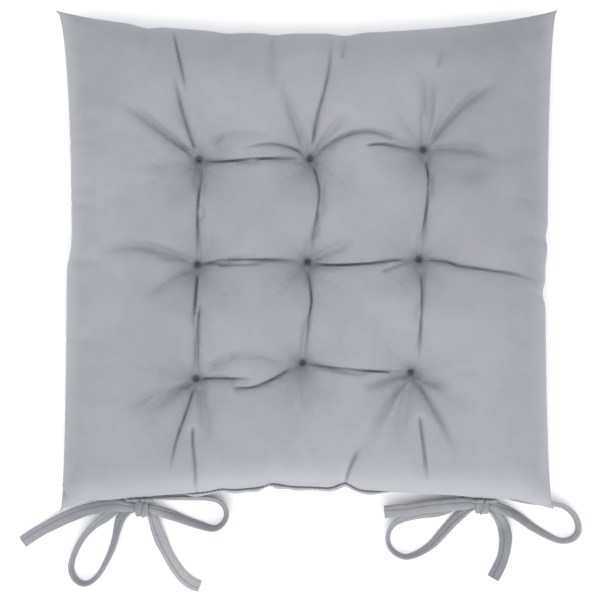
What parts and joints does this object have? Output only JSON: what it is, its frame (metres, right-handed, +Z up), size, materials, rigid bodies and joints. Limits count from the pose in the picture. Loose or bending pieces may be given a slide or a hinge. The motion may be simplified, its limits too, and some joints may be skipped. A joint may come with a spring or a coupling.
{
  "type": "chair seat pad",
  "caption": "Square tufted chair seat pad in grey velvet, its sides drawn in between the corners, with strap ties knotted in bows along the rear edge.",
  "frame": {"origin": "on the surface that the pad lies on, under the middle of the pad without its ties", "axes": "+Z up, out of the sitting side; the ties leave the -Y edge, which goes to the chair's backrest; +X runs along that edge, to the right as seen from above with the ties towards the viewer"},
  "size_m": [0.4519, 0.4654, 0.0625],
  "materials": {
    "velvet_top": "short grey velvet pile",
    "velvet_underside": "short grey velvet pile",
    "velvet_strap": "grey velvet strap, folded and edge-stitched",
    "sewing_thread": "twisted polyester thread",
    "polyester_wadding": "loose white fibre"
  },
  "bodies": {
    "pad": {"top_cover_panel": "velvet_top", "bottom_cover_panel": "velvet_underside", "fibre_fill": "polyester_wadding", "edge_seam_thread": "sewing_thread", "closing_stitches": "sewing_thread", "tuft_thread_front_left": "sewing_thread", "tuft_thread_front_centre": "sewing_thread", "tuft_thread_front_right": "sewing_thread", "tuft_thread_middle_left": "sewing_thread", "tuft_thread_middle_centre": "sewing_thread", "tuft_thread_middle_right": "sewing_thread", "tuft_thread_rear_left": "sewing_thread", "tuft_thread_rear_centre": "sewing_thread", "tuft_thread_rear_right": "sewing_thread", "left_tie_sewn_ends": "velvet_strap", "right_tie_sewn_ends": "velvet_strap"},
    "left_bow": {"left_tie_outer_strap": "velvet_strap", "left_tie_inner_strap": "velvet_strap", "left_bow_knot": "velvet_strap"},
    "right_bow": {"right_tie_outer_strap": "velvet_strap", "right_tie_inner_strap": "velvet_strap", "right_bow_knot": "velvet_strap"}
  },
  "joints": [
    {"name": "left_bow_swing", "type": "hinge", "parent": "pad", "child": "left_bow", "pos_m": [-0.132, -0.18946, 0.028], "axis": [-1, 0, 0], "range_deg": [-25, 150]},
    {"name": "right_bow_swing", "type": "hinge", "parent": "pad", "child": "right_bow", "pos_m": [0.141, -0.19021, 0.028], "axis": [-1, 0, 0], "range_deg": [-25, 150]}
  ]
}
